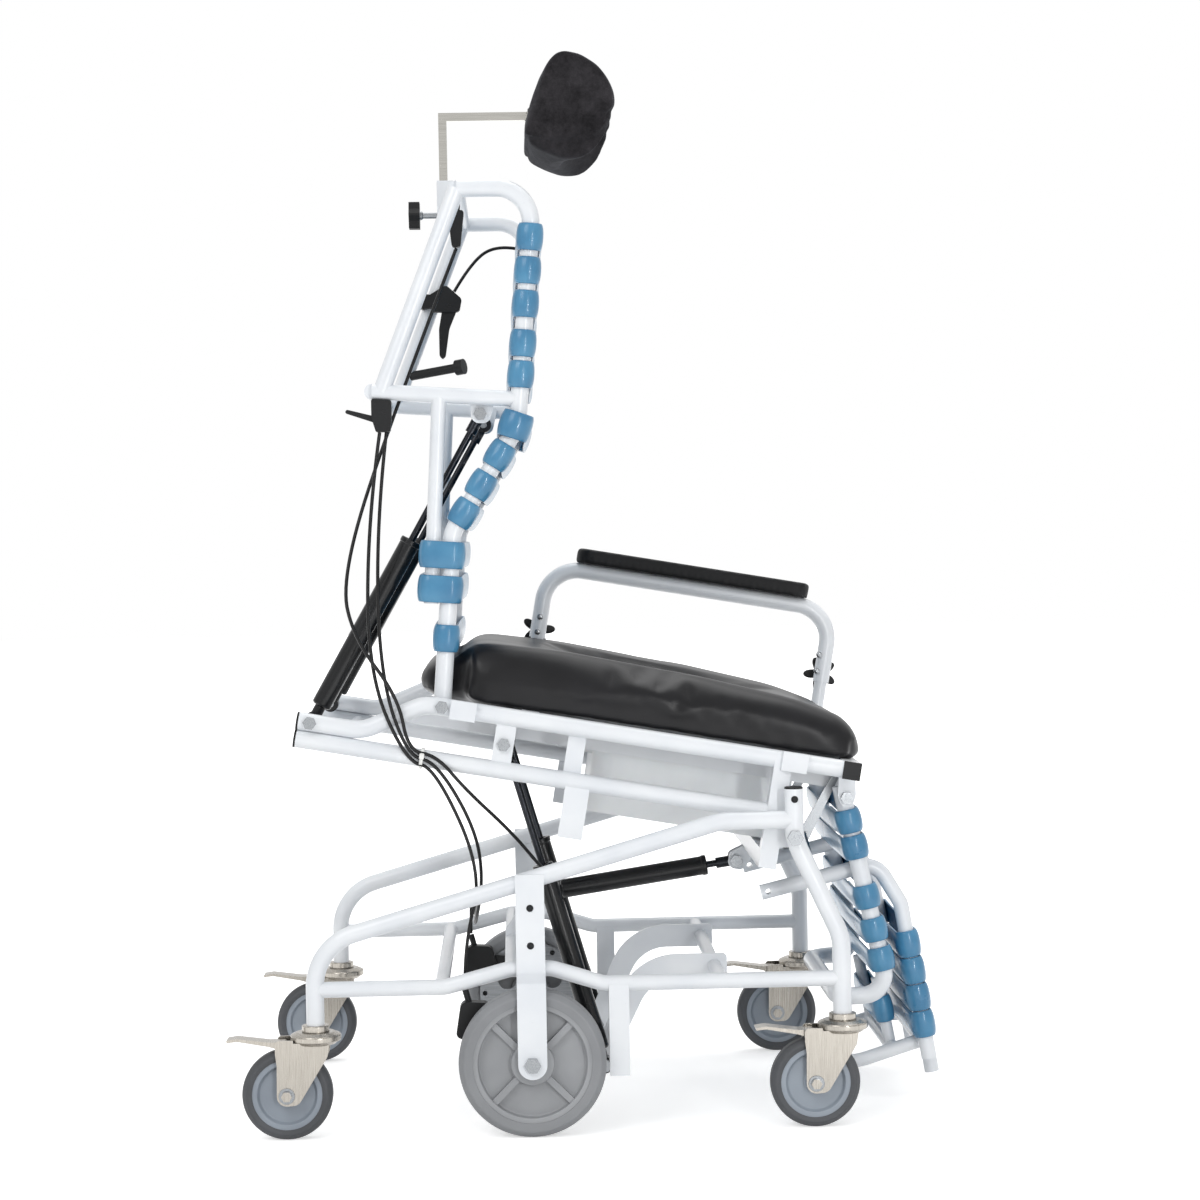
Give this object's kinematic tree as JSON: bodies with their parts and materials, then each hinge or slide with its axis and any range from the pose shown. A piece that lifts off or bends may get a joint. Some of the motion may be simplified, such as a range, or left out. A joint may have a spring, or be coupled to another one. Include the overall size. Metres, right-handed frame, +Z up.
{
  "type": "tilting shower commode chair",
  "caption": "Wheeled shower and commode chair with a tilting seat, reclining strap back, headrest, gas springs, leg rest and sliding foot rest.",
  "frame": {"origin": "on the floor under the middle of the chair's outer box", "axes": "+X is the way the chair faces, +Y is the sitter's left, +Z is up"},
  "size_m": [1.0152, 0.6778, 1.5268],
  "materials": {
    "white_paint": "semi-gloss powder coat",
    "black_paint": "satin",
    "stainless": "brushed",
    "zinc": "zinc plated",
    "rod_chrome": "polished",
    "strap_vinyl": "coated vinyl",
    "cushion_vinyl": "soft vinyl",
    "velour": "short pile",
    "arm_foam": "moulded, fine grain",
    "black_plastic": "moulded",
    "white_plastic": "moulded",
    "grey_plastic": "moulded",
    "grey_tyre": "moulded",
    "dark_tyre": "moulded",
    "cable_sheath": "smooth"
  },
  "bodies": {
    "base": {"base_frame_right": "white_paint", "base_frame_left": "white_paint", "base_cross_members": "white_paint", "spring_cradle": "white_paint", "base_caps": "black_plastic", "base_bolts": "zinc", "brake_calipers": "black_plastic", "caster_stems": "stainless"},
    "caster_fork_rear_right": {"caster_fork_rear_right": "stainless"},
    "caster_wheel_rear_right": {"caster_core_rear_right": "grey_plastic", "caster_tyre_rear_right": "dark_tyre"},
    "caster_pedal_rear_right": {"caster_pedal_rear_right": "stainless"},
    "caster_fork_rear_left": {"caster_fork_rear_left": "stainless"},
    "caster_wheel_rear_left": {"caster_core_rear_left": "grey_plastic", "caster_tyre_rear_left": "dark_tyre"},
    "caster_pedal_rear_left": {"caster_pedal_rear_left": "stainless"},
    "caster_fork_front_right": {"caster_fork_front_right": "stainless"},
    "caster_wheel_front_right": {"caster_core_front_right": "grey_plastic", "caster_tyre_front_right": "dark_tyre"},
    "caster_pedal_front_right": {"caster_pedal_front_right": "stainless"},
    "caster_fork_front_left": {"caster_fork_front_left": "stainless"},
    "caster_wheel_front_left": {"caster_core_front_left": "grey_plastic", "caster_tyre_front_left": "dark_tyre"},
    "caster_pedal_front_left": {"caster_pedal_front_left": "stainless"},
    "middle_wheel_right": {"wheel_tyre_right": "grey_tyre", "wheel_hub_right": "grey_plastic", "brake_rotor_right": "stainless"},
    "middle_wheel_left": {"wheel_tyre_left": "grey_tyre", "wheel_hub_left": "grey_plastic", "brake_rotor_left": "stainless"},
    "seat": {"seat_frame": "white_paint", "seat_caps": "black_plastic", "seat_fittings": "zinc", "seat_cushion": "cushion_vinyl", "armrest_posts": "zinc", "control_cables": "cable_sheath"},
    "pan": {"commode_pan": "white_plastic"},
    "armrest": {"armrest_tube": "white_paint", "armrest_pad": "arm_foam"},
    "armrest_knob_front": {"armrest_knob_front": "black_plastic"},
    "armrest_knob_rear": {"armrest_knob_rear": "black_plastic"},
    "back": {"back_frame": "white_paint", "back_straps": "strap_vinyl", "back_bolts": "zinc", "cable_housings": "black_plastic"},
    "release_lever": {"release_lever": "black_plastic"},
    "grip_lever": {"grip_lever": "black_plastic"},
    "headrest_post": {"headrest_post": "stainless"},
    "headrest_pad": {"headrest_pad": "velour"},
    "headrest_knob": {"headrest_knob": "black_plastic"},
    "recline_cylinders": {"recline_cylinders": "black_paint"},
    "recline_rods": {"recline_rods": "rod_chrome"},
    "tilt_cylinders": {"tilt_cylinders": "black_paint"},
    "tilt_rods": {"tilt_rods": "rod_chrome"},
    "lock_cylinder": {"lock_cylinder": "black_paint"},
    "lock_rod": {"lock_rod": "rod_chrome"},
    "legrest": {"legrest_frame": "white_paint", "calf_straps": "strap_vinyl"},
    "footrest": {"footrest_frame": "white_paint", "foot_straps": "strap_vinyl"}
  },
  "joints": [
    {"name": "tilt", "type": "hinge", "parent": "base", "child": "seat", "pos_m": [0.283, 0, 0.403], "axis": [0, -1, 0], "range_deg": [0, 20], "deforming": ["control_cables"]},
    {"name": "recline", "type": "hinge", "parent": "seat", "child": "back", "pos_m": [-0.2027, 0, 0.5912], "axis": [0, -1, 0], "range_deg": [0, 35], "deforming": ["control_cables"]},
    {"name": "leg_rest_swing", "type": "hinge", "parent": "seat", "child": "legrest", "pos_m": [0.366, 0, 0.448], "axis": [0, -1, 0], "range_deg": [0, 60]},
    {"name": "foot_rest_slide", "type": "slide", "parent": "legrest", "child": "footrest", "axis": [0.9735, 0, 0.2287], "range_m": [0, 0.06]},
    {"name": "pan_slide", "type": "slide", "parent": "seat", "child": "pan", "axis": [-0.9848, 0, 0.1736], "range_m": [0, 0.15]},
    {"name": "armrest_slide", "type": "slide", "parent": "seat", "child": "armrest", "axis": [0.1736, 0, 0.9848], "range_m": [0, 0.04]},
    {"name": "armrest_knob_front_turn", "type": "hinge", "parent": "armrest", "child": "armrest_knob_front", "pos_m": [0.38661, 0.3, 0.59899], "axis": [0, 1, 0], "continuous": true},
    {"name": "armrest_knob_rear_turn", "type": "hinge", "parent": "armrest", "child": "armrest_knob_rear", "pos_m": [-0.06247, 0.3, 0.67817], "axis": [0, 1, 0], "continuous": true},
    {"name": "headrest_slide", "type": "slide", "parent": "back", "child": "headrest_post", "axis": [0, 0, 1], "range_m": [0, 0.05]},
    {"name": "headrest_pad_tilt", "type": "hinge", "parent": "headrest_post", "child": "headrest_pad", "pos_m": [-0.062, 0, 1.447], "axis": [0, 1, 0], "range_deg": [-14, 14]},
    {"name": "headrest_knob_turn", "type": "hinge", "parent": "back", "child": "headrest_knob", "pos_m": [-0.215, 0, 1.303], "axis": [1, 0, 0], "continuous": true},
    {"name": "release_lever_pull", "type": "hinge", "parent": "back", "child": "release_lever", "pos_m": [-0.276, -0.22, 1.004], "axis": [0, 1, 0], "range_deg": [0, 10], "stiffness_Nm_per_rad": 0.6, "springref_deg": -5.73},
    {"name": "grip_lever_pull", "type": "hinge", "parent": "back", "child": "grip_lever", "pos_m": [-0.192, 0.196, 1.186], "axis": [0, 1, 0], "range_deg": [0, 15], "stiffness_Nm_per_rad": 0.6, "springref_deg": -5.73},
    {"name": "swivel_rear_right", "type": "hinge", "parent": "base", "child": "caster_fork_rear_right", "pos_m": [-0.385, -0.285, 0.15], "axis": [0, 0, 1], "continuous": true},
    {"name": "roll_rear_right", "type": "hinge", "parent": "caster_fork_rear_right", "child": "caster_wheel_rear_right", "pos_m": [-0.425, -0.285, 0.0625], "axis": [0, 1, 0], "continuous": true},
    {"name": "pedal_rear_right", "type": "hinge", "parent": "caster_fork_rear_right", "child": "caster_pedal_rear_right", "pos_m": [-0.431, -0.285, 0.1315], "axis": [0, -1, 0], "range_deg": [0, 10]},
    {"name": "swivel_rear_left", "type": "hinge", "parent": "base", "child": "caster_fork_rear_left", "pos_m": [-0.385, 0.285, 0.15], "axis": [0, 0, 1], "continuous": true},
    {"name": "roll_rear_left", "type": "hinge", "parent": "caster_fork_rear_left", "child": "caster_wheel_rear_left", "pos_m": [-0.425, 0.285, 0.0625], "axis": [0, 1, 0], "continuous": true},
    {"name": "pedal_rear_left", "type": "hinge", "parent": "caster_fork_rear_left", "child": "caster_pedal_rear_left", "pos_m": [-0.431, 0.285, 0.1315], "axis": [0, -1, 0], "range_deg": [0, 10]},
    {"name": "swivel_front_right", "type": "hinge", "parent": "base", "child": "caster_fork_front_right", "pos_m": [0.346, -0.285, 0.15], "axis": [0, 0, 1], "continuous": true},
    {"name": "roll_front_right", "type": "hinge", "parent": "caster_fork_front_right", "child": "caster_wheel_front_right", "pos_m": [0.306, -0.285, 0.0625], "axis": [0, 1, 0], "continuous": true},
    {"name": "pedal_front_right", "type": "hinge", "parent": "caster_fork_front_right", "child": "caster_pedal_front_right", "pos_m": [0.3, -0.285, 0.1315], "axis": [0, -1, 0], "range_deg": [0, 10]},
    {"name": "swivel_front_left", "type": "hinge", "parent": "base", "child": "caster_fork_front_left", "pos_m": [0.346, 0.285, 0.15], "axis": [0, 0, 1], "continuous": true},
    {"name": "roll_front_left", "type": "hinge", "parent": "caster_fork_front_left", "child": "caster_wheel_front_left", "pos_m": [0.306, 0.285, 0.0625], "axis": [0, 1, 0], "continuous": true},
    {"name": "pedal_front_left", "type": "hinge", "parent": "caster_fork_front_left", "child": "caster_pedal_front_left", "pos_m": [0.3, 0.285, 0.1315], "axis": [0, -1, 0], "range_deg": [0, 10]},
    {"name": "roll_middle_right", "type": "hinge", "parent": "base", "child": "middle_wheel_right", "pos_m": [-0.086, -0.304, 0.102], "axis": [0, 1, 0], "continuous": true},
    {"name": "roll_middle_left", "type": "hinge", "parent": "base", "child": "middle_wheel_left", "pos_m": [-0.086, 0.304, 0.102], "axis": [0, 1, 0], "continuous": true},
    {"name": "recline_cylinder_turn", "type": "hinge", "parent": "seat", "child": "recline_cylinders", "pos_m": [-0.38668, 0, 0.57287], "axis": [0, -1, 0], "range_deg": [0, 29.93]},
    {"name": "recline_rod_turn", "type": "hinge", "parent": "back", "child": "recline_rods", "pos_m": [-0.142, 0, 1], "axis": [0, -1, 0], "range_deg": [-6.07, 0]},
    {"name": "tilt_cylinder_turn", "type": "hinge", "parent": "base", "child": "tilt_cylinders", "pos_m": [0.017, 0, 0.071], "axis": [0, -1, 0], "range_deg": [0, 10.36]},
    {"name": "tilt_rod_turn", "type": "hinge", "parent": "seat", "child": "tilt_rods", "pos_m": [-0.11788, 0, 0.53664], "axis": [0, -1, 0], "range_deg": [-10.64, 0]},
    {"name": "lock_cylinder_turn", "type": "hinge", "parent": "base", "child": "lock_cylinder", "pos_m": [-0.06, 0, 0.298], "axis": [0, -1, 0], "range_deg": [-4.42, 0]},
    {"name": "lock_rod_turn", "type": "hinge", "parent": "seat", "child": "lock_rod", "pos_m": [0.22297, 0, 0.33895], "axis": [0, -1, 0], "range_deg": [-24.42, 0]}
  ],
  "couplings": [
    {"joint": "recline_cylinder_turn", "follows": "recline", "ratio": 0.841},
    {"joint": "recline_rod_turn", "follows": "recline", "ratio": -0.159},
    {"joint": "tilt_cylinder_turn", "follows": "tilt", "ratio": 0.493},
    {"joint": "tilt_rod_turn", "follows": "tilt", "ratio": -0.507},
    {"joint": "lock_cylinder_turn", "follows": "tilt", "ratio": -0.196},
    {"joint": "lock_rod_turn", "follows": "tilt", "ratio": -1.196}
  ]
}
